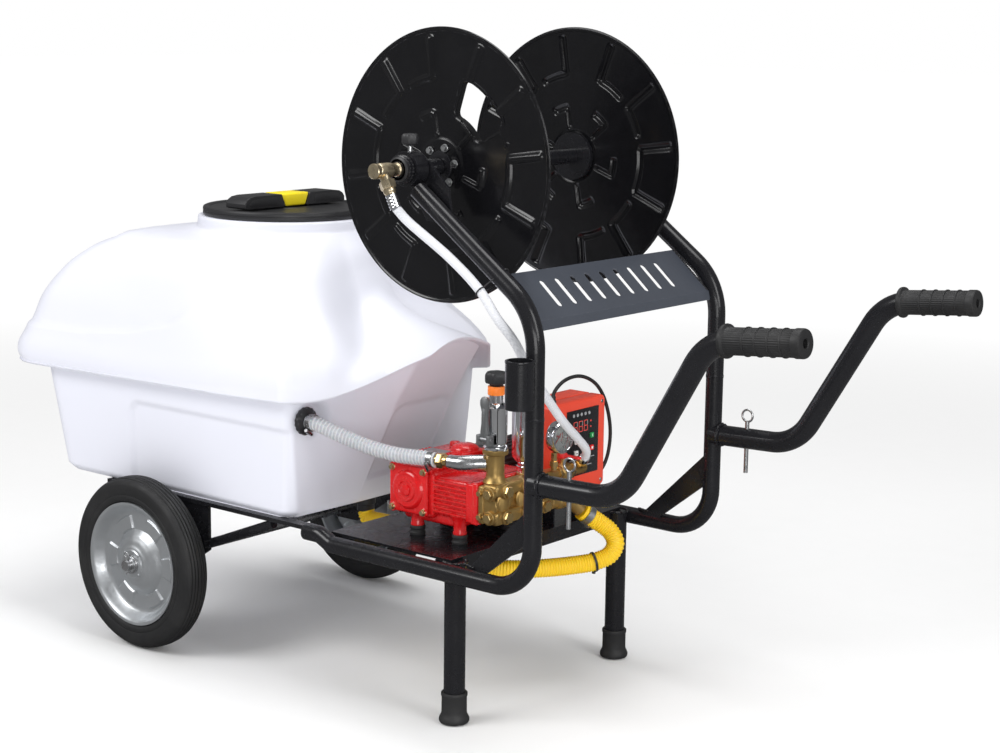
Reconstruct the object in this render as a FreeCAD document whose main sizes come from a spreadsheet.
import FreeCAD, Part
import math
import os
import re
import Sketcher

# A two-wheel sprayer cart: tank over the axle, pump on a deck, hose reel between the tops of the frame.
# Frame: +X to the handles, +Z up, left is -Y, as the operator sees it. The origin is on the floor at the
# centre of the cart's footprint. Every X below is measured from the wheel axle, and each piece's Placement
# moves it by the distance from the axle to the origin. Millimetres.

SIZES = {
    "axle_to_origin": 488.5, "running_gap": 0.05, "slip_gap": 0.08, "joint_gap": 0.1,
    # wheels and axle
    "wheel_radius": 170, "rim_radius": 122, "tyre_half": 28, "wheel_place": 320,
    "hub_radius": 20, "hub_half": 30, "axle_radius": 10, "axle_half": 362,
    "split_place": 357, "split_radius": 1.9,
    # tube frame
    "tube_radius": 16, "tube_wall": 2, "post_x": 931, "side_y": 270, "rail_z": 280, "seam_z": 577,
    "lower_bend": 80, "upper_bend": 120, "kick_x": 480, "rail_end_x": 405, "rail_end_z": 294,
    "leg_x": 738, "leg_y": 240, "leg_radius": 19, "leg_foot_z": 8,
    "cup_radius": 24, "cup_bore": 21, "cup_bottom": 600, "cup_top": 680,
    "diagonal_corner_z": 751, "diagonal_end_x": 674, "diagonal_end_z": 937,
    "tray_top": 298.9, "tray_thick": 8, "tray_front": -170, "tray_inner": 238, "tray_outer": 260,
    # deck
    "deck_front": 450, "deck_back": 738, "deck_half": 252, "deck_z": 294, "deck_thick": 4,
    # handles
    "handle_radius": 19, "handle_bore": 16, "stub_radius": 15.5, "stub_z": 468, "stub_end": 1036,
    "handle_start": 955, "handle_low_x": 1108, "handle_low_z": 472, "handle_high_x": 1271,
    "handle_high_z": 749, "handle_end_x": 1438, "handle_end_z": 763.6, "handle_bend": 90,
    "grip_y": 282, "grip_radius": 22.8, "grip_length": 142, "grip_end_wall": 3,
    "pin_x": 1005, "pin_radius": 4, "pin_bottom": 405, "pin_top": 512, "pin_ring": 13,
    # reel
    "reel_x": 655, "reel_z": 972, "reel_radius": 237.5, "reel_half": 189.5, "reel_shaft_radius": 14,
    "reel_rim_half": 4, "reel_sheet": 1.6, "bearing_in": 256, "bearing_out": 284, "bearing_radius": 30,
    # tank
    "tank_bottom": 299, "tank_wall": 5, "neck_x": 85, "neck_radius": 175, "neck_top": 835,
    "filler_radius": 150, "lid_radius": 165, "lid_z": 836, "lid_height": 17, "lid_skirt": 158,
    "outlet_y": -236, "outlet_z": 490, "outlet_boss_x": 366, "outlet_radius": 16,
    "drain_x": 300, "drain_y": 0, "drain_radius": 14,
    # pump, all about the crank axis
    "crank_x": 576, "crank_z": 385, "pump_near": -176, "pump_far": -4, "case_front": 530,
    "case_back": 732, "case_low": 334, "case_high": 430, "case_wall": 10, "nose_front": 622,
    "nose_low": 344, "nose_high": 418, "crank_radius": 10,
    "crank_throw": 11, "bearing_bore": 20, "plunger_radius": 9, "foot_radius": 11, "foot_x_front": 579,
    "foot_x_back": 680, "foot_y_near": -160, "foot_y_far": -22, "foot_pad_top": 316,
    "manifold_front": 744, "manifold_back": 776, "manifold_low": 346, "manifold_high": 420,
    "stack_x": 745, "regulator_y": -142, "chamber_y": -52, "chamber_radius": 28,
    "gauge_x": 765, "gauge_y": 2, "gauge_z": 482, "gauge_radius": 30, "gauge_depth": 22,
    "valve_z": 404, "motor_radius": 52, "motor_end": 152,
    # control box
    "box_back": 730, "box_front": 650, "box_left": 40, "box_right": 206, "box_low": 350, "box_high": 526,
    "box_wall": 3,
}

doc = FreeCAD.newDocument("SprayerCart")
sheet = doc.addObject("Spreadsheet::Sheet", "Sizes")
for row, (alias, value) in enumerate(SIZES.items(), start=1):
    sheet.set("A%d" % row, alias)
    sheet.set("B%d" % row, str(value))
    sheet.setAlias("B%d" % row, alias)
doc.recompute()

V = FreeCAD.Vector
X_AXIS, Y_AXIS, Z_AXIS = V(1, 0, 0), V(0, 1, 0), V(0, 0, 1)
UPRIGHT = FreeCAD.Rotation()
TO_LEFT = FreeCAD.Rotation(X_AXIS, 90)
TO_RIGHT = FreeCAD.Rotation(X_AXIS, -90)
TO_BACK = FreeCAD.Rotation(Y_AXIS, 90)
pieces = []


def size(alias):
    return float(getattr(sheet, alias))


def linked(text):
    """The same formula with every alias written as a reference to the sheet."""
    return re.sub(r"[a-z][a-z_]+", lambda word: "Sizes." + word.group(0), str(text))


def number(text):
    """The present value of a formula in aliases."""
    return float(sheet.evalExpression(linked(text)))


def keep(thing):
    pieces.append(thing)
    return thing


def put(thing, place, turn=UPRIGHT):
    """Set an object's place from three formulas, and its turn."""
    place = ("%s - axle_to_origin" % place[0], place[1], place[2])
    spot = V(*[number(part) for part in place])
    thing.Placement = FreeCAD.Placement(spot, turn)
    for axis, part in zip("xyz", place):
        if linked(part) != str(part):
            thing.setExpression("Placement.Base." + axis, linked(part))
    return thing


def outline(body, role, corners):
    """A closed sketch on one of the body's own planes, through corners given as pairs of formulas."""
    sketch = body.newObject("Sketcher::SketchObject", body.Name + "_outline")
    plane = [feature for feature in body.Origin.OriginFeatures if feature.Role == role][0]
    sketch.AttachmentSupport = [(plane, "")]
    sketch.MapMode = "FlatFace"
    spots = [V(number(across), number(up), 0) for across, up in corners]
    count = len(spots)
    for index in range(count):
        sketch.addGeometry(Part.LineSegment(spots[index], spots[(index + 1) % count]))
    for index in range(count):
        sketch.addConstraint(Sketcher.Constraint("Coincident", index, 2, (index + 1) % count, 1))
    for index, corner in enumerate(corners):
        for kind, formula, axis in (("DistanceX", corner[0], -2), ("DistanceY", corner[1], -1)):
            if abs(number(formula)) < 1e-9:
                sketch.addConstraint(Sketcher.Constraint("PointOnObject", index, 1, axis))
                continue
            fixed = sketch.addConstraint(Sketcher.Constraint(kind, -1, 1, index, 1, number(formula)))
            if linked(formula) != str(formula):
                sketch.setExpression("Constraints[%d]" % fixed, linked(formula))
    return sketch


def turned(label, corners, place, turn=UPRIGHT):
    """A body of revolution about its own Z, from (radius, height) corners."""
    body = doc.addObject("PartDesign::Body", label)
    body.Label = label
    sketch = outline(body, "XZ_Plane", corners)
    spin = body.newObject("PartDesign::Revolution", label + "_turn")
    spin.Profile = sketch
    spin.ReferenceAxis = (sketch, ["V_Axis"])
    spin.Angle = 360
    sketch.Visibility = False
    body.Tip = spin
    return keep(put(body, place, turn))


def ring(label, inner, outer, low, high, place, turn=UPRIGHT):
    """A plain ring or, with an inner radius of 0, a plain round bar."""
    return turned(label, [(inner, low), (outer, low), (outer, high), (inner, high)], place, turn)


def slab(label, role, corners, depth, place, turn=UPRIGHT):
    """A flat outline padded to a depth."""
    body = doc.addObject("PartDesign::Body", label)
    body.Label = label
    sketch = outline(body, role, corners)
    pad = body.newObject("PartDesign::Pad", label + "_pad")
    pad.Profile = sketch
    pad.Length = number(depth)
    pad.setExpression("Length", linked(depth))
    body.Tip = pad
    return keep(put(body, place, turn))


def pierce(body, role, corners, depth, both=True):
    """Cut an outline through the body's last feature, and check that it cuts something."""
    before = body.Tip
    doc.recompute()
    sketch = outline(body, role, corners)
    cut = body.newObject("PartDesign::Pocket", body.Name + "_cut")
    cut.Profile = sketch
    cut.Length = number(depth)
    cut.Midplane = both
    body.Tip = cut
    doc.recompute()
    if cut.Shape.Volume > before.Shape.Volume - 1:
        raise SystemExit("a cut in %s removes nothing" % body.Label)
    return cut


def around(body, feature, count):
    """Repeat a feature evenly about the body's own Z."""
    pattern = body.newObject("PartDesign::PolarPattern", body.Name + "_around")
    pattern.Originals = [feature]
    axis = [item for item in body.Origin.OriginFeatures if item.Role == "Z_Axis"][0]
    pattern.Axis = (axis, [""])
    pattern.Angle = 360
    pattern.Occurrences = count
    body.Tip = pattern
    return pattern


def shaped(label, shape):
    """A piece whose shape is made with Part's own functions from the sheet's sizes."""
    feature = doc.addObject("Part::Feature", label)
    feature.Label = label
    feature.Shape = shape
    return keep(put(feature, ("0", "0", "0")))


def combined(kind, label, members, links):
    """One piece made of several document objects, which stop being pieces of their own."""
    for member in members:
        if member in pieces:
            pieces.remove(member)
    whole = doc.addObject(kind, label)
    whole.Label = label
    setattr(whole, links, members)
    return keep(whole)


def grouped(label, members):
    """Separate solids that share one node."""
    return combined("Part::Compound", label, members, "Links")


def welded(label, members):
    """Solids that are one piece in metal."""
    return combined("Part::MultiFuse", label, members, "Shapes")


def path(points, bend):
    """A wire through the points with each inner corner rounded to the bend radius."""
    points = [V(*point) for point in points]
    edges = []
    start = points[0]
    for before, corner, after in zip(points, points[1:], points[2:]):
        back = (before - corner).normalize()
        ahead = (after - corner).normalize()
        half = back.getAngle(ahead) / 2
        reach = bend / math.tan(half)
        middle = corner + (back + ahead).normalize() * (bend / math.sin(half) - bend)
        enter, leave = corner + back * reach, corner + ahead * reach
        edges += [Part.makeLine(start, enter), Part.Arc(enter, middle, leave).toShape()]
        start = leave
    edges.append(Part.makeLine(start, points[-1]))
    return Part.Wire(edges)


def smooth(points):
    """A wire along one smooth curve through the points."""
    curve = Part.BSplineCurve()
    curve.interpolate([V(*point) for point in points])
    return Part.Wire([curve.toShape()])


def along(wire, radius):
    """A round solid swept along a wire."""
    first = wire.OrderedEdges[0]
    heading = first.tangentAt(first.FirstParameter)
    profile = Part.Wire([Part.makeCircle(radius, wire.OrderedVertexes[0].Point, heading)])
    return wire.makePipeShell([profile], True, False)


def pipe(wire, radius, bore):
    """A round tube swept along a wire."""
    return along(wire, radius).cut(along(wire, bore))


def bar(radius, start, end):
    """A round bar between two points."""
    start, end = V(*start), V(*end)
    return Part.makeCylinder(radius, start.distanceToPoint(end), start, end - start)


def block(low, high):
    """A box between two opposite corners."""
    low, high = V(*low), V(*high)
    return Part.makeBox(high.x - low.x, high.y - low.y, high.z - low.z, low)


def joined(shapes):
    return shapes[0].multiFuse(shapes[1:]).removeSplitter()


def side_plate(points, low_y, high_y):
    """A plate parallel to the cart's side, from (x, z) points."""
    loop = [V(across, low_y, up) for across, up in points]
    face = Part.Face(Part.makePolygon(loop + loop[:1]))
    return face.extrude(V(0, high_y - low_y, 0))


# ---------------------------------------------------------------- wheels and axle

def wheel(side, turn, sign):
    """One wheel about the axle: solid tyre, pressed disc, hub and bush. +Z in the body is outboard."""
    place = ("0", "%d * wheel_place" % sign, "wheel_radius")
    tread = [("rim_radius", "4 - tyre_half"), ("rim_radius + 14", "0 - tyre_half"),
             ("wheel_radius - 16", "0 - tyre_half"), ("wheel_radius - 4", "5 - tyre_half"),
             ("wheel_radius", "11 - tyre_half")]
    for middle in (-10, 0, 10):
        tread += [("wheel_radius", str(middle - 2.5)), ("wheel_radius - 3.5", str(middle - 1.5)),
                  ("wheel_radius - 3.5", str(middle + 1.5)), ("wheel_radius", str(middle + 2.5))]
    tread += [("wheel_radius", "tyre_half - 11"), ("wheel_radius - 4", "tyre_half - 5"),
              ("wheel_radius - 16", "tyre_half"), ("rim_radius + 14", "tyre_half"),
              ("rim_radius", "tyre_half - 4")]
    turned("tyre_" + side, tread, place, turn)
    disc = [("rim_radius - joint_gap", "26"), ("rim_radius - 4", "26"), ("rim_radius - 10", "8"),
            ("96", "4"), ("88", "10"), ("52", "14"), ("40", "22"), ("hub_radius - 1", "26"),
            ("hub_radius - 1", "22.5"), ("38.5", "18.5"), ("51", "10.5"), ("87", "6.5"),
            ("96", "0.5"), ("rim_radius - 9", "4"), ("rim_radius - 4", "-26"),
            ("rim_radius - joint_gap", "-26")]
    dish = turned("dish_" + side, disc, place, turn)
    slot = pierce(dish, "XY_Plane", [("60", "-5"), ("82", "-7"), ("82", "7"), ("60", "5")], "120")
    around(dish, slot, 8)
    hub = ring("hub_" + side, "axle_radius + running_gap", "hub_radius", "0 - hub_half", "hub_half",
               place, turn)
    welded("wheel_disc_" + side, [dish, hub])


wheel("left", TO_LEFT, -1)
wheel("right", TO_RIGHT, 1)

axle_z = size("wheel_radius")
axle_r = size("axle_radius")


def split_hole(y, radius, reach):
    return bar(radius, (0, y, axle_z - reach), (0, y, axle_z + reach))


axle = bar(axle_r, (0, -size("axle_half"), axle_z), (0, size("axle_half"), axle_z))
for sign in (-1, 1):
    axle = axle.cut(split_hole(sign * size("split_place"), size("split_radius") + 0.1, 30))
shaped("axle", axle)


def axle_ring(start, end, outer):
    """A loose ring on the axle from one Y to another."""
    body = bar(outer, (0, start, axle_z), (0, end, axle_z))
    return body.cut(bar(axle_r + size("running_gap"), (0, start, axle_z), (0, end, axle_z)))


hub_end = size("wheel_place") + size("hub_half")
hub_start = size("wheel_place") - size("hub_half")
washers = [axle_ring(sign * (hub_end + 0.2), sign * (hub_end + 2.7), 17) for sign in (-1, 1)]
collars = [axle_ring(sign * (hub_start - 10), sign * (hub_start - 0.2), 17) for sign in (-1, 1)]


def split_pin(y):
    """A round pin through the axle with a loop at its top."""
    loop = Part.makeTorus(4.5, size("split_radius"), V(0, y, axle_z + 21), Y_AXIS)
    return split_hole(y, size("split_radius"), 17).fuse(loop)


locks = [split_pin(sign * size("split_place")) for sign in (-1, 1)]
shaped("axle_fasteners", Part.makeCompound(washers + collars + locks))

# ---------------------------------------------------------------- welded frame

side_y = size("side_y")
tube = size("tube_radius")
inner_tube = tube - size("tube_wall")
post_x = size("post_x")
rail_z = size("rail_z")
RAIL_KICK_BEND = 30
PLATE_HALF = 3


def pin_hole(y):
    """The hole for a handle pin, through handle and stub alike."""
    x, radius = size("pin_x"), size("pin_radius") + size("slip_gap")
    return bar(radius, (x, y, size("pin_bottom")), (x, y, size("pin_top")))


def lower_hoop(y):
    """Post, lower bend and rail in one tube, with the stub that carries the handle."""
    stub_z = size("stub_z")
    route = path([(post_x, y, size("seam_z") - 0.1), (post_x, y, rail_z), (size("kick_x") + 0.1, y, rail_z)],
                 size("lower_bend"))
    rise = path([(size("kick_x") + 1, y, rail_z), (size("kick_x") - 12, y, rail_z),
                 (size("rail_end_x") + 34, y, size("rail_end_z")),
                 (size("rail_end_x"), y, size("rail_end_z"))], RAIL_KICK_BEND)
    stub = bar(size("stub_radius"), (post_x, y, stub_z), (size("stub_end"), y, stub_z))
    collar = bar(tube + 5, (post_x, y, stub_z), (size("handle_start") - 1, y, stub_z))
    hoop = joined([along(route, tube), along(rise, tube)]).cut(along(route, inner_tube))
    return joined([hoop.cut(along(rise, inner_tube)), stub.cut(pin_hole(y)), collar])


def leg(y):
    """Leg tube up to the underside of the deck, with the ear plate that ties it to the rail."""
    x, top = size("leg_x"), size("deck_z") - 1
    upright = bar(size("leg_radius"), (x, y, size("leg_foot_z")), (x, y, top))
    hollow = bar(size("leg_radius") - size("tube_wall"), (x, y, size("leg_foot_z")), (x, y, top - 2))
    ear_low, ear_high = sorted((math.copysign(size("leg_y") + 18, y), math.copysign(side_y - tube + 8, y)))
    ear = block((x - 26, ear_low, rail_z - 4), (x + 26, ear_high, rail_z + 2))
    return joined([upright.cut(hollow), ear])


def brace(y):
    """Flat bar from the post down to the rail."""
    run = [(post_x - 4, 432), (post_x - 4, 372), (805, 276), (768, 276)]
    return side_plate(run, y - PLATE_HALF, y + PLATE_HALF)


def axle_gusset(y):
    """Plate that carries the axle, with a strut back to the tray."""
    plate = side_plate([(-118, 292), (-118, 215), (-42, 148), (42, 148), (124, 202), (124, 292)],
                       y - PLATE_HALF, y + PLATE_HALF)
    hole = bar(axle_r + size("joint_gap"), (0, y - 9, axle_z), (0, y + 9, axle_z))
    strut = bar(9, (116, y, 212), (300, y, 286))
    return joined([plate.cut(hole), strut])


def cross_tube(x):
    """Square tube between the rails, under the deck."""
    low, high, reach, wall = 268, size("deck_z") - 0.1, side_y - tube + 1, size("tube_wall")
    outer = block((x, -reach, low), (x + 30, reach, high))
    return outer.cut(block((x + wall, -reach, low + wall), (x + 30 - wall, reach, high - wall)))


tray_top = size("tray_top")
tray_low = tray_top - size("tray_thick")
tray_in, tray_out = size("tray_inner"), size("tray_outer")
frame_parts = []
for sign in (-1, 1):
    near, far = sorted((sign * tray_in, sign * tray_out))
    frame_parts += [lower_hoop(sign * side_y), leg(sign * size("leg_y")), brace(sign * (side_y - 10)),
                    axle_gusset(sign * 252),
                    block((size("tray_front"), near, tray_low), (size("rail_end_x") + 5, far, tray_top))]
for x in (size("tray_front"), -20, 200):
    frame_parts.append(block((x, -tray_in - 4, tray_low), (x + 40, tray_in + 4, tray_top)))
for x in (size("deck_front") + 30, size("deck_back") - 34):
    frame_parts.append(cross_tube(x))

shaped("main_frame", joined(frame_parts))


def upper_tube(y):
    """Upper half of a side: from the seam up, over the bend and down the diagonal to the reel."""
    route = path([(post_x, y, size("seam_z")), (post_x, y, size("diagonal_corner_z")),
                  (size("diagonal_end_x"), y, size("diagonal_end_z"))], size("upper_bend"))
    return pipe(route, tube, inner_tube)


def lance_cup():
    """Open tube beside the left post that a spray lance stands in."""
    x, y = post_x - 2, -side_y - tube - size("cup_radius") + 2
    ends = (x, y, size("cup_bottom")), (x, y, size("cup_top"))
    return bar(size("cup_radius"), *ends).cut(bar(size("cup_bore"), *ends))


shaped("upper_tubes", Part.makeCompound([joined([upper_tube(-side_y), lance_cup()]), upper_tube(side_y)]))


def rubber_foot(side, sign):
    """Rubber cup on a leg, flared where it meets the floor."""
    bore = "leg_radius + running_gap"
    cup = [("0", "0"), ("27", "0"), ("27", "5"), ("23.5", "14"), ("22.5", "56"), (bore, "56"),
           (bore, "leg_foot_z"), ("0", "leg_foot_z")]
    return turned("foot_" + side, cup, ("leg_x", "%d * leg_y" % sign, "0"))


grouped("rubber_feet", [rubber_foot("left", -1), rubber_foot("right", 1)])


SLOT_PITCH, SLOT_HALF, SLOT_RADIUS = 42, 24, 6


def panel():
    """Sheet between the diagonals with a folded lower lip and a row of plain slots."""
    half = side_y - tube - 0.3
    top, bottom = V(842, 0, 806), V(922, 0, 737)
    slope = (bottom - top).normalize()
    normal = V(-slope.z, 0, slope.x).normalize() * 2
    lip = bottom + V(4, 0, -16)
    corners = [top, bottom, lip, lip - V(2, 0, 0), bottom - normal, top - normal]
    loop = [corner + V(0, -half, 0) for corner in corners]
    sheet_shape = Part.Face(Part.makePolygon(loop + loop[:1])).extrude(V(0, 2 * half, 0))
    for index in range(-4, 5):
        middle = (top + bottom) * 0.5 + V(0, index * SLOT_PITCH, 0)
        ends = [middle - slope * SLOT_HALF, middle + slope * SLOT_HALF]
        for end in ends:
            sheet_shape = sheet_shape.cut(Part.makeCylinder(SLOT_RADIUS, 20, end - normal * 5, normal))
        across = V(0, SLOT_RADIUS, 0)
        loop = [ends[0] - across, ends[1] - across, ends[1] + across, ends[0] + across]
        loop = [corner - normal * 5 for corner in loop]
        sheet_shape = sheet_shape.cut(Part.Face(Part.makePolygon(loop + loop[:1])).extrude(normal * 10))
    return sheet_shape


shaped("front_panel", panel())


def deck():
    """Plate between the rails, ends folded down, with the motor's cradle and the control box's stand."""
    front, back, half = size("deck_front"), size("deck_back"), size("deck_half")
    low, high = size("deck_z"), size("deck_z") + size("deck_thick")
    plate = block((front, -half, low), (back, half, high))
    between_legs = size("leg_y") - size("leg_radius") - 3
    folds = [block((back - 3, -between_legs, low - 18), (back, between_legs, low)),
             block((front, -half, low - 18), (front + 3, half, low))]
    cradle_top = size("crank_z") - 20
    axis = (size("crank_x"), 30, size("crank_z")), (size("crank_x"), 120, size("crank_z"))
    cradle = block((size("crank_x") - 36, 40, high - 1), (size("crank_x") + 36, 112, cradle_top))
    cradle = cradle.cut(bar(size("motor_radius") + 0.1, *axis))
    stand_top = size("box_low") - 0.1
    stand = [block((658, y, high - 1), (722, y + 3, stand_top)) for y in (60, 183)]
    stand.append(block((658, 60, stand_top - 3), (722, 186, stand_top)))
    solid = joined([plate, cradle] + folds + stand)
    for x in (size("foot_x_front"), size("foot_x_back")):
        for y in (size("foot_y_near"), size("foot_y_far")):
            solid = solid.cut(bar(4.2, (x, y, low - 5), (x, y, high + 5)))
    return solid


shaped("deck_plate", deck())

# ---------------------------------------------------------------- handles


def handle_points(sign):
    """Corners of a handle's centre line, from the stub to the grip's end."""
    low = V(size("handle_low_x"), sign * (side_y + 2), size("handle_low_z"))
    high = V(size("handle_high_x"), sign * (side_y + 9), size("handle_high_z"))
    end = V(size("handle_end_x"), sign * size("grip_y"), size("handle_end_z"))
    return [V(size("handle_start"), sign * side_y, size("stub_z")), low, high, end]


def handle(sign):
    """Bent tube that slips over the frame's stub and is held by a pin."""
    points = handle_points(sign)
    tube_shape = pipe(path(points, size("handle_bend")), size("handle_radius"), size("handle_bore"))
    start = points[0]
    socket = bar(size("handle_bore"), start - V(5, 0, 0), (size("stub_end") + 4, start.y, start.z))
    return tube_shape.cut(socket).cut(pin_hole(start.y))


def grip(sign):
    """Ribbed rubber grip with a flange and a small hole in its end."""
    points = handle_points(sign)
    inward = (points[2] - points[3]).normalize()
    outer_end = points[3] - inward * size("grip_end_wall")
    radius = size("grip_radius")
    solid = Part.makeCylinder(radius - 1.5, size("grip_length"), outer_end, inward)
    flange = Part.makeCylinder(radius + 4, 6, outer_end + inward * (size("grip_length") - 6), inward)
    rings = [Part.makeCylinder(radius, 12, outer_end + inward * start, inward)
             for start in (0, 20, 42, 64, 86)]
    solid = joined([solid, flange] + rings)
    cavity = along(path(points, size("handle_bend")), size("handle_radius") + size("running_gap"))
    vent = Part.makeCylinder(9, 40, outer_end - inward * 10, inward)
    return solid.cut(cavity).cut(vent)


def handle_pin(sign):
    """Locking pin through handle and stub, with a ring at its top."""
    x, y = size("pin_x"), sign * side_y
    ring_bottom = size("pin_top") - size("pin_ring")
    shank = bar(size("pin_radius"), (x, y, size("pin_bottom")), (x, y, ring_bottom + 3))
    loop = Part.makeTorus(size("pin_ring") - 2, 2, V(x, y, size("pin_top")), Y_AXIS)
    return shank.fuse(loop)


shaped("handles", Part.makeCompound([handle(-1), handle(1)]))
shaped("grips", Part.makeCompound([grip(-1), grip(1)]))
shaped("handle_pin_left", handle_pin(-1))
shaped("handle_pin_right", handle_pin(1))

# ---------------------------------------------------------------- hose reel

reel_place = ("reel_x", "0", "reel_z")
rim_low, rim_high = "0 - reel_rim_half", "reel_rim_half"


def reel_disc(side, sign):
    """Stamped disc with a rolled rim. The body's +Z is outboard."""
    corners = [("reel_shaft_radius + joint_gap", "0"), ("reel_radius - 5", "0"),
               ("reel_radius - 5", rim_low), ("reel_radius", rim_low), ("reel_radius", rim_high),
               ("reel_radius - 5", rim_high), ("reel_radius - 5", "reel_sheet"),
               ("reel_shaft_radius + joint_gap", "reel_sheet")]
    turn = TO_LEFT if sign < 0 else TO_RIGHT
    return turned("reel_disc_" + side, corners, ("reel_x", "%d * reel_half" % sign, "reel_z"), turn)


left_disc = reel_disc("left", -1)
reel_disc("right", 1)
WINDOW_INNER, WINDOW_OUTER = 92, 152


def window_corners(first, last, steps=6):
    """Corners of the hand window: an outer and an inner arc, angles in degrees."""
    angles = [math.radians(first + (last - first) * step / steps) for step in range(steps + 1)]
    outer = [(WINDOW_OUTER * math.cos(angle), WINDOW_OUTER * math.sin(angle)) for angle in angles]
    inner = [(WINDOW_INNER * math.cos(angle), WINDOW_INNER * math.sin(angle)) for angle in angles[::-1]]
    return [("%.3f" % across, "%.3f" % up) for across, up in outer + inner]


pierce(left_disc, "XY_Plane", window_corners(28, 72), "40")
shaft_tube = ring("reel_tube", "9", "reel_shaft_radius", "-302", "292", reel_place, TO_RIGHT)


def reel_hub(side, sign):
    """Flange that clamps a disc to the shaft, inboard of the disc, with three stiffening steps."""
    turn = TO_LEFT if sign < 0 else TO_RIGHT
    return ring("reel_hub_" + side, "reel_shaft_radius - 1", "44", "-8", "-0.1",
                ("reel_x", "%d * reel_half" % sign, "reel_z"), turn)


reel_x, reel_z = size("reel_x"), size("reel_z")


def reel_outlet():
    """Brass elbow on the shaft that the sprayed hose starts from."""
    grip_ring = bar(22, (reel_x, -60, reel_z), (reel_x, -28, reel_z))
    spout = bar(9, (reel_x, -44, reel_z + 8), (reel_x + 4, -44, reel_z + 46))
    bore = bar(size("reel_shaft_radius") + 0.1, (reel_x, -70, reel_z), (reel_x, -20, reel_z))
    return grip_ring.fuse(spout).cut(bore)


shaped("reel_outlet", reel_outlet())


def reel_bracket(sign):
    """Bearing ring with a plate down to the diagonal tube's end."""
    low, high = sorted((sign * size("bearing_in"), sign * size("bearing_out")))
    housing = bar(size("bearing_radius"), (reel_x, low, reel_z), (reel_x, high, reel_z))
    inner = side_y - tube - 0.2
    plate_low, plate_high = sorted((sign * (inner - 5), sign * inner))
    ring_edge = size("bearing_radius")
    tail = side_plate([(reel_x - 28, reel_z - 8), (reel_x + 24, reel_z - ring_edge - 58),
                       (reel_x + 80, reel_z - ring_edge - 58), (reel_x + 72, reel_z - 30),
                       (reel_x + 26, reel_z + 14), (reel_x, reel_z + 30), (reel_x - 24, reel_z + 18)],
                      plate_low, plate_high)
    neck_low, neck_high = sorted((sign * (inner - 5), sign * (size("bearing_in") + 2)))
    neck = bar(ring_edge - 4, (reel_x, neck_low, reel_z), (reel_x, neck_high, reel_z))
    bore = bar(size("reel_shaft_radius") + 4.1, (reel_x, low - 20, reel_z), (reel_x, high + 20, reel_z))
    solid = joined([housing, tail, neck]).cut(bore)
    if sign < 0:
        y = (low + high) / 2
        solid = solid.cut(bar(4 + size("slip_gap"), (reel_x, y, reel_z), (reel_x, y, reel_z + 60)))
    return solid


def reel_bush(sign):
    low, high = sorted((sign * size("bearing_in"), sign * size("bearing_out")))
    sleeve = bar(size("reel_shaft_radius") + 4, (reel_x, low, reel_z), (reel_x, high, reel_z))
    bore_radius = size("reel_shaft_radius") + size("running_gap")
    return sleeve.cut(bar(bore_radius, (reel_x, low, reel_z), (reel_x, high, reel_z)))


shaped("reel_brackets", Part.makeCompound([reel_bracket(-1), reel_bracket(1)]))
shaped("reel_bushes", Part.makeCompound([reel_bush(-1), reel_bush(1)]))

brake_y = -(size("bearing_in") + size("bearing_out")) / 2
turned("reel_brake_knob", [("0", "0"), ("4", "0"), ("4", "20"), ("13", "20"), ("15", "24"), ("15", "34"),
                           ("12", "40"), ("0", "41")],
       ("reel_x", str(brake_y), "reel_z + reel_shaft_radius + 4.2"))

SWIVEL_Y = -302.2
gland = turned("gland", [("12", "0"), ("24", "0"), ("24", "4"), ("21", "5"), ("21", "7"), ("24", "8"),
                         ("24", "11"), ("21", "12"), ("21", "14"), ("18", "16"), ("12", "16")],
               ("reel_x", "-286", "reel_z"), TO_LEFT)
welded("reel_shaft", [shaft_tube, reel_hub("left", -1), reel_hub("right", 1), gland])


def swivel_elbow():
    """Brass tee: a body on the reel's axis and a branch that leans down to the hose, with its ferrule."""
    start = SWIVEL_Y
    body = joined([bar(12, (reel_x, start, reel_z), (reel_x, start - 52, reel_z)),
                   bar(14.5, (reel_x, start - 50, reel_z), (reel_x, start - 59.8, reel_z)),
                   bar(8.5, (reel_x, start + 14, reel_z), (reel_x, start, reel_z))])
    branch = bar(8, (reel_x, branch_y, reel_z), branch_end)
    nut = bar(13, (reel_x + 11, branch_y, reel_z - 22), branch_end)
    ferrule = bar(9.5, branch_end, ferrule_end)
    return joined([body, branch, nut, ferrule])


branch_y = SWIVEL_Y - 36
branch_end = V(reel_x + 19, branch_y, reel_z - 38)
branch_run = V(19, 0, -38).normalize()
ferrule_end = branch_end + branch_run * 24
shaped("swivel_elbow", swivel_elbow())

# White feed hose, from the swivel down the diagonal tube to the outlet valve.
FEED_RADIUS, FEED_BORE = 8, 5
hose_y = -side_y - tube - 14
VALVE_BRANCH = (748, 98, 404), (776, 80, 430)
feed_route = [ferrule_end - branch_run * 3, ferrule_end + branch_run * 22 + V(0, 14, 0),
              V(772, hose_y, 832), V(837, hose_y, 784), V(868, hose_y + 6, 742), V(880, -262, 700),
              V(876, -215, 642), V(862, -150, 588), V(838, -70, 530), V(812, 10, 482), V(794, 58, 453),
              V(784, 74, 440), V(775, 81, 429.2)]
feed_wire = smooth(feed_route)
feed_ends = [bar(FEED_RADIUS + 3, branch_end, ferrule_end + branch_run * 0.1),
             bar(FEED_RADIUS + 3, *VALVE_BRANCH)]
feed_hose = pipe(feed_wire, FEED_RADIUS, FEED_BORE)
for fitting in feed_ends:
    feed_hose = feed_hose.cut(fitting)
shaped("feed_hose", feed_hose)


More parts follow.
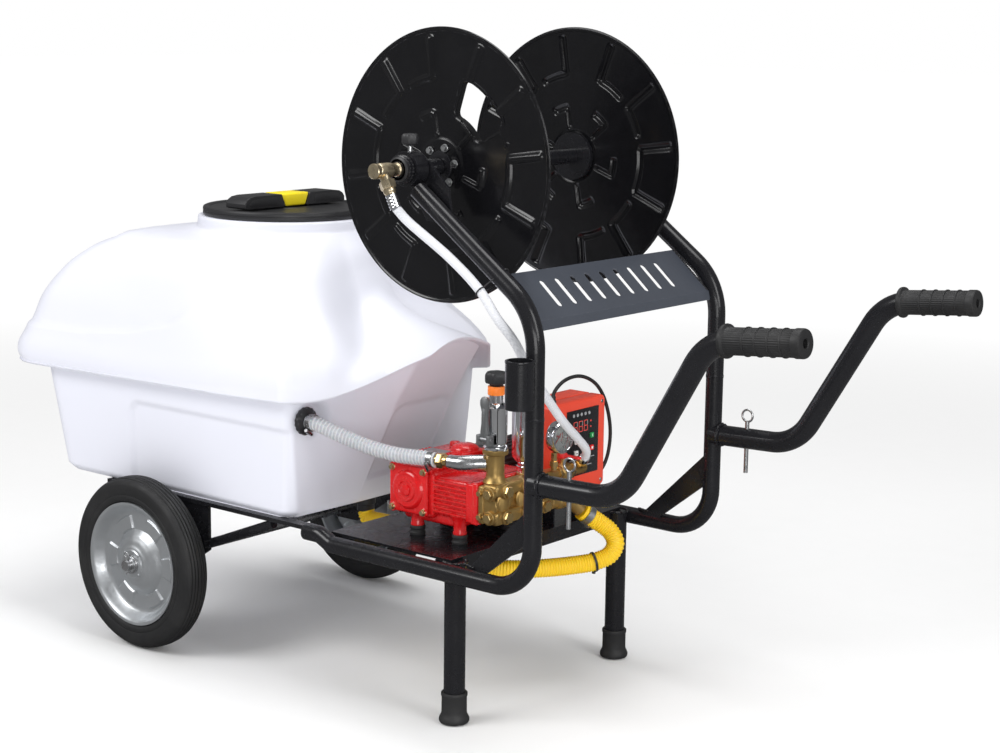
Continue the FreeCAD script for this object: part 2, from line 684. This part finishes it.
def band(wire, spot, inner, outer, width):
    """A flat ring around a wire, nearest to a spot."""
    edge = wire.OrderedEdges[0]
    here = edge.Curve.parameter(V(*spot))
    centre, heading = edge.valueAt(here), edge.tangentAt(here)
    ends = centre - heading * (width / 2), centre + heading * (width / 2)
    return bar(outer, *ends).cut(bar(inner, *ends))


bands = [band(feed_wire, (837, hose_y, 784), FEED_RADIUS + 0.3, FEED_RADIUS + 2, 5)]

# ---------------------------------------------------------------- tank and lid

# Each level: height, front x, rear corner x, rear middle x, half width, front and rear corner radius,
# half width of the flat rear middle, and which way the inside skin is shifted.
TANK_LEVELS = [
    (299, -310, 336, 342, 250, 50, 30, 90, 1), (312, -326, 349, 357, 261, 55, 30, 90, 1),
    (514, -374, 350, 458, 268, 60, 30, 90, 1), (521, -452, 371, 464, 297, 100, 36, 88, 1),
    (580, -460, 366, 500, 294, 110, 40, 82, 0), (612, -450, 348, 520, 281, 120, 44, 78, 0),
    (640, -440, 322, 541, 265, 130, 50, 72, -1), (648, -435, 316, 402, 262, 130, 60, 60, -1),
    (700, -397, 300, 352, 240, 140, 80, 50, -1), (754, -305, 284, 318, 215, 150, 90, 40, -1),
    (784, -228, 276, 296, 196, 150, 100, 30, -1), (806, -130, 262, 272, 179, 150, 105, 30, -1),
]


def tank_section(level, inset):
    """The tank's outline at one level, drawn in by the inset."""
    height, front, corner, middle, half, front_bend, rear_bend, flat, shift = level
    front, corner, middle, half = front + inset, corner - inset, middle - inset, half - inset
    height += shift * inset
    spots = [(front, -half, front_bend), (corner, -half, rear_bend), (middle, -flat, 20),
             (middle, flat, 20), (corner, half, rear_bend), (front, half, front_bend)]
    edges, last = [], None
    count = len(spots)
    for index in range(count + 1):
        x, y, bend = spots[index % count]
        before, after = spots[index % count - 1], spots[(index + 1) % count]
        here = V(x, y, height)
        back = (V(before[0], before[1], height) - here).normalize()
        ahead = (V(after[0], after[1], height) - here).normalize()
        half_angle = back.getAngle(ahead) / 2
        reach = (bend - inset) / math.tan(half_angle)
        bend -= inset
        middle_spot = here + (back + ahead).normalize() * (bend / math.sin(half_angle) - bend)
        enter, leave = here + back * reach, here + ahead * reach
        if last is not None:
            edges.append(Part.makeLine(last, enter))
        if index < count:
            edges.append(Part.Arc(enter, middle_spot, leave).toShape())
        last = leave
    return Part.Wire(edges)


SEAT_RADIUS = 27.5


def tank():
    """Hollow shell with a filler neck, a drain hole and a flat seat for the outlet in its slanted rear."""
    wall = size("tank_wall")
    outer = Part.makeLoft([tank_section(level, 0) for level in TANK_LEVELS], True, True)
    inner = Part.makeLoft([tank_section(level, wall) for level in TANK_LEVELS], True, True)
    x, top = size("neck_x"), size("neck_top")
    neck = bar(size("neck_radius"), (x, 0, 790), (x, 0, top))
    thread = bar(size("lid_skirt") - 0.4, (x, 0, top), (x, 0, top + 9))
    filler = bar(size("filler_radius"), (x, 0, 700), (x, 0, top + 15))
    y, z = size("outlet_y"), size("outlet_z")
    seat_x = size("outlet_boss_x")
    boss_behind = bar(SEAT_RADIUS + wall, (seat_x - 28, y, z), (seat_x, y, z)).common(outer)
    seat = bar(SEAT_RADIUS, (seat_x, y, z), (seat_x + 60, y, z))
    outlet_hole = bar(size("outlet_radius") + 0.1, (300, y, z), (400, y, z))
    drain = bar(size("drain_radius") + 0.1, (size("drain_x"), size("drain_y"), 280),
                (size("drain_x"), size("drain_y"), 320))
    shell = joined([joined([outer, neck, thread]).cut(inner), boss_behind])
    return shell.cut(filler).cut(seat).cut(outlet_hole).cut(drain)


shaped("tank", tank())
turned("lid", [("0", "10"), ("lid_skirt", "10"), ("lid_skirt", "0"), ("lid_radius", "0"),
               ("lid_radius", "lid_height - 3"), ("lid_radius - 4", "lid_height"), ("0", "lid_height")],
       ("neck_x", "0", "lid_z"))
lobes = slab("lid_lobes", "YZ_Plane",
             [("-138", "0"), ("138", "0"), ("130", "17"), ("104", "24"), ("60", "25"), ("38", "22"),
              ("38", "10"), ("-38", "10"), ("-38", "22"), ("-60", "25"), ("-104", "24"), ("-130", "17")],
             "54", ("neck_x - 27", "0", "lid_z + lid_height + joint_gap"))
insert = slab("lid_insert", "YZ_Plane",
              [("-37.8", "10.1"), ("37.8", "10.1"), ("37.8", "23"), ("-37.8", "23")],
              "50", ("neck_x - 25", "0", "lid_z + lid_height + joint_gap"))
grouped("lid_handle", [lobes, insert])

boss_place = ("outlet_boss_x + joint_gap", "outlet_y", "outlet_z")
bulkhead = turned("bulkhead", [("11", "-44"), ("outlet_radius", "-44"), ("outlet_radius", "0"), ("24", "0"),
                            ("24", "6"), ("19", "8"), ("11", "8")], boss_place, TO_BACK)
bulkhead_nut = ring("bulkhead_nut", "outlet_radius + joint_gap", "22", "-42", "-32", boss_place, TO_BACK)
drain_place = ("drain_x", "drain_y", "tank_bottom - joint_gap")
drain = turned("drain", [("8", "-34"), ("17.5", "-34"), ("17.5", "-20"), ("20", "-18"), ("20", "0"),
                        ("drain_radius", "0"), ("drain_radius", "18"), ("8", "18")], drain_place)
drain_nut = ring("drain_nut", "drain_radius + joint_gap", "22", "5.6", "14", drain_place)
grouped("tank_fittings", [bulkhead, bulkhead_nut, drain, drain_nut])

SUCTION_RADIUS, SUCTION_BORE = 14, 11
suction_wire = smooth([(373, -236, 490), (400, -235, 488), (440, -226, 475), (500, -208, 457),
                       (560, -196, 449), (612, -184, 449), (640, -180, 449)])
bulkhead_end = bar(SUCTION_RADIUS + 4, (340, -236, 490), (374.2, -236, 490))
shaped("suction_hose", pipe(suction_wire, SUCTION_RADIUS, SUCTION_BORE).cut(bulkhead_end))
bands += [band(suction_wire, spot, SUCTION_RADIUS + 0.3, SUCTION_RADIUS + 2.3, 12)
          for spot in ((386, -236, 490), (630, -180, 449))]

# ---------------------------------------------------------------- pump

crank_x, crank_z = size("crank_x"), size("crank_z")
near, far = size("pump_near"), size("pump_far")
front, back = size("case_front"), size("case_back")
low, high = size("case_low"), size("case_high")
wall = size("case_wall")
nose = size("nose_front")
PLUNGER_YS = (-145, -90, -35)
FEET = [(x, y) for x in (size("foot_x_front"), size("foot_x_back"))
        for y in (size("foot_y_near"), size("foot_y_far"))]
pad_top = size("foot_pad_top")
deck_top = size("deck_z") + size("deck_thick")


def crankcase():
    """Cast case: open-topped crank chamber, finned sides, nose with plunger bores, and four feet."""
    shapes = [block((front, near, low), (nose + 8, far, high)),
              block((nose, near, size("nose_low")), (back, far, size("nose_high")))]
    shapes += [bar(size("foot_radius"), (x, y, pad_top + 0.1), (x, y, low + 14)) for x, y in FEET]
    for index in range(7):
        z = low + 10 + index * 12
        shapes.append(block((front - 6, near + 12, z), (front, far - 12, z + 4)))
    for index in range(5):
        z = size("nose_low") + 8 + index * 13
        shapes.append(block((nose + 6, near - 5, z), (back - 26, near, z + 5)))
        shapes.append(block((nose + 6, far, z), (back - 26, far + 3, z + 5)))
    solid = joined(shapes)
    solid = solid.cut(block((front + wall, near + wall, low + wall), (nose - 2, far - wall, high + 5)))
    solid = solid.cut(bar(size("bearing_bore"), (crank_x, near - 1, crank_z), (crank_x, far + 1, crank_z)))
    for y in PLUNGER_YS:
        solid = solid.cut(bar(size("plunger_radius") + 0.1, (nose - 5, y, crank_z), (back + 5, y, crank_z)))
    for x, y in FEET:
        solid = solid.cut(bar(4.1, (x, y, pad_top - 5), (x, y, pad_top + 18)))
    return solid


shaped("crankcase", crankcase())
COVER_BOLTS = [(x, z) for x in (front + 9, nose - 9) for z in (low + 14, high - 8)]


def bearing_cover():
    """Square cover over the near bearing with a raised round boss."""
    plate = block((front, near - 8, low + 6), (nose, near - 0.1, high))
    boss = Part.makeCone(36, 30, 5, V(crank_x, near - 8, crank_z), V(0, -1, 0))
    solid = plate.fuse(boss)
    solid = solid.cut(Part.makeCone(22, 16, 3, V(crank_x, near - 13, crank_z), Y_AXIS))
    for x, z in COVER_BOLTS:
        solid = solid.cut(bar(3.1, (x, near - 12, z), (x, near + 1, z)))
    return solid


shaped("bearing_cover", bearing_cover())
bolts = [bar(5.5, (x, near - 12, z), (x, near - 8.1, z)).fuse(bar(3, (x, near - 9, z), (x, near - 0.1, z)))
         for x, z in COVER_BOLTS]


def top_cover():
    """Ribbed lid of the crank chamber."""
    shapes = [block((front + 3, near + 18, high + 0.1), (nose - 3, far - 4, high + 7))]
    for index in range(8):
        y = near + 24 + index * 9
        shapes.append(block((front + 3, y, high + 7), (nose - 3, y + 3, high + 11)))
    cap = Part.makeCone(18, 12, 15, V(nose - 24, far - 24, high + 7))
    return joined(shapes + [cap])


shaped("top_cover", top_cover())


def crankshaft():
    """Three-throw crank, its long end carrying the motor's rotor."""
    radius = size("crank_radius")
    stops = [near + 2]
    shapes = []
    for index, y in enumerate(PLUNGER_YS):
        angle = math.radians(120 * index + 90)
        x = crank_x + size("crank_throw") * math.cos(angle)
        z = crank_z + size("crank_throw") * math.sin(angle)
        shapes.append(bar(8, (x, y - 12, z), (x, y + 12, z)))
        for start in (y - 16, y + 11):
            shapes.append(bar(21, (crank_x, start, crank_z), (crank_x, start + 5, crank_z)))
        stops += [y - 14, y + 14]
    stops.append(size("motor_end") - 10)
    for start, end in zip(stops[::2], stops[1::2]):
        shapes.append(bar(radius, (crank_x, start, crank_z), (crank_x, end, crank_z)))
    return joined(shapes)


shaped("crankshaft", crankshaft())


def crank_bearing(start):
    ends = ((crank_x, start, crank_z), (crank_x, start + 8.8, crank_z))
    outer = bar(size("bearing_bore") - 0.1, *ends)
    return outer.cut(bar(size("crank_radius") + size("running_gap"), *ends))


shaped("crank_bearings", Part.makeCompound([crank_bearing(near + 0.6), crank_bearing(far - 9.4)]))
shaped("plungers", Part.makeCompound([
    bar(size("plunger_radius"), (602, y, crank_z), (742, y, crank_z)) for y in PLUNGER_YS]))
motor_place = ("crank_x", "pump_far + 3.6", "crank_z")
turned("motor_case", [("crank_radius + 0.6", "0"), ("motor_radius", "0"), ("motor_radius", "motor_end"),
                      ("0", "motor_end"), ("0", "motor_end - 6"), ("motor_radius - 5", "motor_end - 6"),
                      ("motor_radius - 5", "8"), ("crank_radius + 0.6", "8")], motor_place, TO_RIGHT)
ring("motor_rotor", "crank_radius + joint_gap", "motor_radius - 7", "14", "138", motor_place, TO_RIGHT)
shaped("pump_bushes", Part.makeCompound([
    bar(14, (x, y, deck_top + 0.1), (x, y, pad_top)).cut(bar(4.2, (x, y, deck_top), (x, y, pad_top)))
    for x, y in FEET]))
bolts += [bar(7, (x, y, 288), (x, y, size("deck_z") - 0.1)).fuse(bar(4, (x, y, 290), (x, y, pad_top + 16)))
          for x, y in FEET]


stack_x = size("stack_x")
stack_low = size("manifold_high") + 0.1
regulator_y = size("regulator_y")
INLET_TOP = 478


def manifold():
    """Brass head: packing flange, square body, a bulge for each valve, and the plunger bores."""
    x_low, x_high = size("manifold_front"), size("manifold_back")
    z_low, z_high = size("manifold_low"), size("manifold_high")
    shapes = [block((back + 0.1, near + 2, z_low + 2), (x_low, far - 2, z_high - 6)),
              block((x_low - 1, near + 8, z_low + 8), (x_high - 14, far - 8, z_high - 8)),
              block((x_high - 40, near + 4, z_high - 22), (x_high, far, z_high)),
              block((x_high - 40, near + 4, z_low), (x_high, far, z_low + 26))]
    for y in PLUNGER_YS:
        shapes.append(bar(17, (x_high - 20, y, z_low + 6), (x_high - 20, y, z_high - 4)))
        for z in (z_low + 14, z_high - 14):
            shapes.append(bar(13, (x_high - 20, y, z), (x_high + 8, y, z)))
    shapes += [block((stack_x - 17, regulator_y - 16, z_high - 2),
                     (stack_x + 17, regulator_y + 16, INLET_TOP)),
               bar(13, (760, far - 4, 358), (760, 52, 358)), bar(16, (760, 20, 358), (760, 40, 358)),
               bar(14, (758, 46, 357), (774, 74, 332))]
    solid = joined(shapes)
    for y in PLUNGER_YS:
        solid = solid.cut(bar(size("plunger_radius") + 0.1, (back - 5, y, crank_z), (748, y, crank_z)))
    return solid


shaped("manifold", manifold())
shaped("pump_bolts", Part.makeCompound(bolts))
elbow_wire = smooth([(664.3, -176, 449), (690, -172, 449), (710, -158, 450), (729, -146, 451)])
nipple = [bar(10, (640.2, -180, 449), (664.5, -176, 449)), bar(13, (648, -178.8, 449), (659, -177, 449))]
clear_of_inlet = block((stack_x - 17.1, regulator_y - 30, 400), (stack_x + 30, regulator_y + 30, 500))
shaped("suction_elbow", joined([along(elbow_wire, 12)] + nipple).cut(clear_of_inlet))
regulator_place = ("stack_x", "regulator_y", str(INLET_TOP + 0.1))
barrel = turned("regulator_barrel", [("0", "0"), ("22", "0"), ("22", "5"), ("21", "6"), ("21", "78"),
                                     ("14.5", "84"), ("14.5", "114"), ("4", "114"), ("4", "120"),
                                     ("0", "120")], regulator_place)
turned("regulator_knob", [("4.06", "114.3"), ("15", "114.3"), ("21", "119"), ("21", "132"), ("16", "138"),
                          ("0", "139"), ("0", "121"), ("4.06", "121")], regulator_place)

PIVOT_Y, PIVOT_Z = regulator_y - 30, 500


def lever_bracket():
    """Two cheeks on the regulator with the pin that the lever turns on."""
    low_z, high_z = PIVOT_Z - 8, PIVOT_Z + 8
    shapes = [block((stack_x - 14, PIVOT_Y - 6, low_z), (stack_x - 8.2, regulator_y - 14, high_z)),
              block((stack_x + 8.2, PIVOT_Y - 6, low_z), (stack_x + 14, regulator_y - 14, high_z)),
              block((stack_x - 14, PIVOT_Y + 6, low_z), (stack_x + 14, regulator_y - 12, high_z))]
    return joined(shapes + [bar(2, (stack_x - 15, PIVOT_Y, PIVOT_Z), (stack_x + 15, PIVOT_Y, PIVOT_Z))])


def unloader_lever():
    """Cast lever that stands up from its pin and folds outward."""
    blade = block((stack_x - 8, PIVOT_Y - 4, PIVOT_Z), (stack_x + 8, PIVOT_Y + 4, PIVOT_Z + 70))
    knuckle = bar(4, (stack_x - 8, PIVOT_Y, PIVOT_Z), (stack_x + 8, PIVOT_Y, PIVOT_Z))
    pad = bar(9, (stack_x, PIVOT_Y - 5, PIVOT_Z + 66), (stack_x, PIVOT_Y + 5, PIVOT_Z + 66))
    hole = bar(2.06, (stack_x - 20, PIVOT_Y, PIVOT_Z), (stack_x + 20, PIVOT_Y, PIVOT_Z))
    return joined([blade, knuckle, pad]).cut(hole)


welded("regulator_body", [barrel, shaped("lever_bracket", lever_bracket())])
shaped("unloader_lever", unloader_lever())
chamber_place = ("stack_x", "chamber_y", str(stack_low))
turned("air_chamber", [("0", "0"), ("18", "0"), ("18", "20"), ("chamber_radius", "30"),
                       ("chamber_radius", "140"), ("24", "154"), ("14", "162"), ("0", "165")], chamber_place)

gauge_place = ("gauge_x", "gauge_y", "gauge_z")
cup = turned("gauge_cup", [("0", "0"), ("gauge_radius", "0"), ("gauge_radius", "gauge_depth"),
                      ("gauge_radius - 4", "gauge_depth"), ("gauge_radius - 4", "5"), ("2.06", "5"),
                      ("2.06", "3"), ("0", "3")], gauge_place, TO_BACK)
ring("gauge_glass", "0", "gauge_radius - 4.1", "gauge_depth - 3", "gauge_depth - 1", gauge_place, TO_BACK)
gauge_x, gauge_y, gauge_z = size("gauge_x"), size("gauge_y"), size("gauge_z")


def gauge_needle():
    """Needle on its spindle, resting at the dial's zero, lower left."""
    spindle = bar(2, (gauge_x + 3.2, gauge_y, gauge_z), (gauge_x + 11, gauge_y, gauge_z))
    blade = block((gauge_x + 9, gauge_y - 1, gauge_z - 7), (gauge_x + 10.5, gauge_y + 1, gauge_z + 20))
    blade.rotate(V(gauge_x, gauge_y, gauge_z), X_AXIS, 135)
    return spindle.fuse(blade)


shaped("gauge_needle", gauge_needle())
stem = shaped("gauge_stem", bar(5.5, (771, gauge_y - 8, stack_low), (771, gauge_y - 8, gauge_z - 26)))
welded("gauge_body", [cup, stem])
valve_x, valve_z = 748, size("valve_z")
VALVE_Y = 52


def outlet_valve():
    """Brass pipe and ball-valve body with the branch that feeds the reel."""
    shapes = [bar(13, (valve_x, far + 0.1, valve_z), (valve_x, 34, valve_z)),
              bar(16, (valve_x, 34, valve_z), (valve_x, 70, valve_z)),
              bar(12, (valve_x, 70, valve_z), (valve_x, 112, valve_z)),
              bar(6, (valve_x, VALVE_Y, valve_z), (valve_x, VALVE_Y, valve_z + 26)),
              bar(9, *VALVE_BRANCH)]
    return joined(shapes)


shaped("outlet_valve", outlet_valve())


def valve_lever():
    """Quarter-turn lever on the valve's stem."""
    z = valve_z + 26.1
    hub = bar(8, (valve_x, VALVE_Y, z), (valve_x, VALVE_Y, z + 8))
    blade = block((valve_x, VALVE_Y - 5, z + 3), (valve_x + 38, VALVE_Y + 5, z + 7))
    return hub.fuse(blade)


shaped("valve_lever", valve_lever())
RETURN_RADIUS, RETURN_BORE = 17, 13
return_wire = smooth([(775, 75.7, 330.5), (782, 88, 319.5), (797, 105, 304), (813, 115, 289),
                      (825, 115, 270), (822, 104, 250), (806, 84, 238), (780, 47, 233), (741, -13, 232),
                      (700, -60, 234), (620, -90, 242), (540, -50, 248), (460, -6, 248), (350, 0, 248),
                      (309, 0, 250), (300, 0, 268)])
drain_end = bar(RETURN_RADIUS + 4, (300, 0, 264.8), (300, 0, 290))
shaped("return_hose", pipe(return_wire, RETURN_RADIUS, RETURN_BORE).cut(drain_end))
bands += [band(return_wire, (781, 86, 321), RETURN_RADIUS + 0.5, RETURN_RADIUS + 2.5, 11),
          band(return_wire, (803, 81, 237), RETURN_RADIUS + 0.5, RETURN_RADIUS + 2, 4)]
shaped("hose_clamps", Part.makeCompound(bands))

# ---------------------------------------------------------------- battery and control box

shaped("battery", block((458, 40, deck_top + 0.1), (520, 236, 388)))
box_low, box_high = size("box_low"), size("box_high")
box_left, box_right = size("box_left"), size("box_right")
box_front, box_back = size("box_front"), size("box_back")
skin = size("box_wall")
box_split = box_back - 34
BUTTONS = {"button_plus": (112, 448), "button_minus": (112, 426), "button_start": (160, 454),
           "button_stop": (160, 430)}
BUTTON_HALF = 5


def box_shell(x_low, x_high, open_low):
    """Half of the control box: a tray that opens towards the other half."""
    outer = block((x_low, box_left, box_low), (x_high, box_right, box_high))
    edges = [edge for edge in outer.Edges if abs(edge.tangentAt(edge.FirstParameter).x) > 0.9]
    outer = outer.makeFillet(10, edges)
    cavity_low, cavity_high = (x_low - 1, x_high - skin) if open_low else (x_low + skin, x_high + 1)
    cavity = block((cavity_low, box_left + skin, box_low + skin),
                   (cavity_high, box_right - skin, box_high - skin))
    edges = [edge for edge in cavity.Edges if abs(edge.tangentAt(edge.FirstParameter).x) > 0.9]
    return outer.cut(cavity.makeFillet(7, edges))


def button_holes(solid):
    reach = BUTTON_HALF + 0.3
    for y, z in BUTTONS.values():
        solid = solid.cut(block((box_back - 20, y - reach, z - reach), (box_back + 20, y + reach, z + reach)))
    return solid


shaped("box_case", box_shell(box_front, box_split - 0.1, False))
fascia = block((box_back - 1, box_left + 44, box_low + 32), (box_back + 1.5, box_right - 24, box_high - 18))
shaped("box_cover", button_holes(joined([box_shell(box_split, box_back, True), fascia])))
for name, (y, z) in BUTTONS.items():
    shaped(name, block((box_back - 5, y - BUTTON_HALF, z - BUTTON_HALF),
                       (box_back + 4.5, y + BUTTON_HALF, z + BUTTON_HALF)))
CABLE_RADIUS = 3.5
cable_wire = smooth([(712, 62, box_high - 2), (713, 66, 545), (715, 90, 563), (715, 140, 567),
                     (715, 190, 547), (715, 222, 512), (715, 243, 450), (712, 240, 398), (708, 226, 372),
                     (706, 204, 366)])
box_room = block((box_front, box_left, box_low), (box_back, box_right + 0.1, box_high + 0.1))
shaped("box_cable", along(cable_wire, CABLE_RADIUS).cut(box_room))


def check_and_write():
    """Stop on anything that failed, then write one STEP file for each piece."""
    doc.recompute()
    for thing in doc.Objects:
        if "Invalid" in thing.State or "Error" in thing.State:
            raise SystemExit("%s failed: %s" % (thing.Label, thing.State))
    os.makedirs("parts", exist_ok=True)
    for piece in pieces:
        if piece.Shape.isNull() or not piece.Shape.isValid() or piece.Shape.Volume < 1:
            raise SystemExit("%s has a bad shape" % piece.Label)
        piece.Shape.exportStep(os.path.join("parts", piece.Label + ".step"))
    print(len(pieces), "pieces written")


check_and_write()
